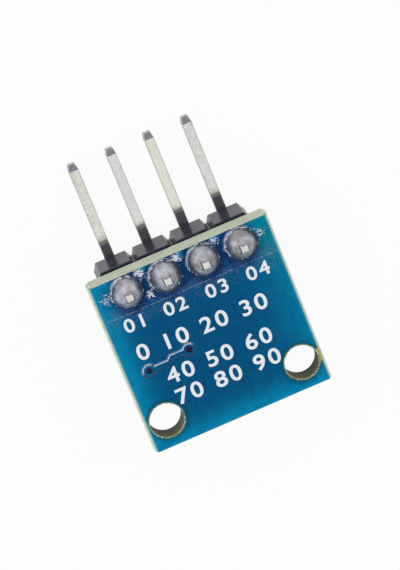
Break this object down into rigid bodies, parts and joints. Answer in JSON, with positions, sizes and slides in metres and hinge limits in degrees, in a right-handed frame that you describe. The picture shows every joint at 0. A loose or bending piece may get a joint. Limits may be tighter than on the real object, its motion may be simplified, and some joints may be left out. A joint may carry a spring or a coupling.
{
  "type": "temperature humidity sensor module",
  "caption": "Small square circuit board with a right-angle pin header on one edge, a temperature and humidity sensor and its chip parts on the hidden side, and mounting holes.",
  "frame": {"origin": "midway between the two mounting holes, on the laminate's solder side", "axes": "+X along the header row, +Y the way the header pins point, +Z out of the solder side; the header strip, sensor and chip parts are below the board"},
  "size_m": [0.012, 0.0181, 0.0065],
  "materials": {
    "laminate": "satin glass-epoxy laminate with torn fibres on its cut edges",
    "copper": "bare electroplated copper under the mask",
    "solder_mask": "glossy blue epoxy solder mask",
    "header_plastic": "semi-gloss moulded black polyester",
    "pin_plating": "bright tin plating over drawn brass wire",
    "solder": "hand-soldered tin alloy, smooth with flux haze",
    "sensor_mould": "matte moulded epoxy",
    "sensor_silicon": "polished silicon chip",
    "terminal_plating": "tin-plated copper terminal",
    "resistor_ceramic": "fired white alumina",
    "resistor_coating": "black protective glass coat",
    "capacitor_ceramic": "fired tan ceramic",
    "end_cap_plating": "matte tin-plated end cap"
  },
  "bodies": {
    "root": {"board_core": "laminate", "capacitor_body": "capacitor_ceramic", "capacitor_end_caps": "end_cap_plating", "capacitor_solder": "solder", "clock_resistor_body": "resistor_ceramic", "clock_resistor_coating": "resistor_coating", "clock_resistor_end_caps": "end_cap_plating", "clock_resistor_solder": "solder", "clock_track": "copper", "data_resistor_body": "resistor_ceramic", "data_resistor_coating": "resistor_coating", "data_resistor_end_caps": "end_cap_plating", "data_resistor_solder": "solder", "data_track": "copper", "ground_plane_component_side": "copper", "ground_plane_solder_side": "copper", "header_pin_1": "pin_plating", "header_pin_2": "pin_plating", "header_pin_3": "pin_plating", "header_pin_4": "pin_plating", "header_strip": "header_plastic", "jumper_track_solder_side": "copper", "link_through_board_left": "copper", "link_through_board_right": "copper", "plated_hole_1": "copper", "plated_hole_2": "copper", "plated_hole_3": "copper", "plated_hole_4": "copper", "sensor_chip": "sensor_silicon", "sensor_ground_pad": "terminal_plating", "sensor_package": "sensor_mould", "sensor_solder": "solder", "sensor_terminals": "terminal_plating", "solder_joint_1": "solder", "solder_joint_2": "solder", "solder_joint_3": "solder", "solder_joint_4": "solder", "solder_mask_component_side": "solder_mask", "solder_mask_solder_side": "solder_mask", "spare_terminal_lands": "copper", "supply_branch_track": "copper", "supply_track": "copper"}
  },
  "joints": []
}
